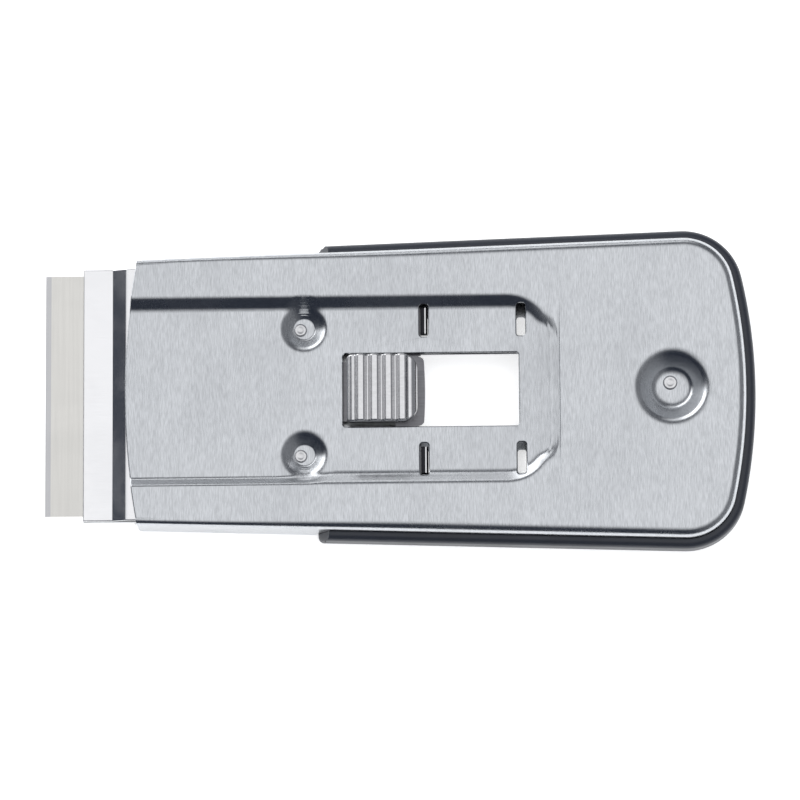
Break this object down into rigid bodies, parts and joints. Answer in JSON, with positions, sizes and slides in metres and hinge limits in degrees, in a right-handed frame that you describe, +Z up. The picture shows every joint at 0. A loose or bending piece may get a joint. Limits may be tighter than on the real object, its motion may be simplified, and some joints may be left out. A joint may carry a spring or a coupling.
{
  "type": "hob scraper",
  "caption": "Flat steel hob scraper: a wide blade on a sliding carriage, with a ribbed thumb slider and a spring lock in a pressed housing with a dark rim.",
  "frame": {"origin": "under the middle of the whole tool, on the surface that it rests on", "axes": "+X along the tool from the cutting edge to the rear end, +Y across it, +Z up through the top cover"},
  "size_m": [0.1134, 0.0516, 0.0094],
  "materials": {
    "cover_steel": "brushed lengthwise",
    "clamp_steel": "polished",
    "blade_steel": "ground",
    "slider_chrome": "bright plated",
    "rim_black": "satin moulded"
  },
  "bodies": {
    "housing": {"top_cover": "cover_steel", "bottom_cover": "cover_steel", "grip_rim": "rim_black", "front_rivet_left": "clamp_steel", "front_rivet_right": "clamp_steel", "rear_rivet": "clamp_steel"},
    "carriage": {"blade_carrier": "cover_steel", "blade_clamp": "clamp_steel", "blade": "blade_steel", "blade_peg_left": "cover_steel", "blade_peg_right": "cover_steel", "clamp_rivet_left": "cover_steel", "clamp_rivet_centre": "cover_steel", "clamp_rivet_right": "cover_steel", "spring_rivet_front": "cover_steel", "spring_rivet_rear": "cover_steel"},
    "latch": {"lock_spring": "clamp_steel", "thumb_slider": "slider_chrome"}
  },
  "joints": [
    {"name": "carriage_slide", "type": "slide", "parent": "housing", "child": "carriage", "axis": [1, 0, 0], "range_m": [0, 0.0155]},
    {"name": "thumb_latch", "type": "hinge", "parent": "carriage", "child": "latch", "pos_m": [-0.0177, 0, 0.00379], "axis": [0, -1, 0], "range_deg": [-0.8, 1.9], "stiffness_Nm_per_rad": 1.8, "springref_deg": 1.95}
  ]
}
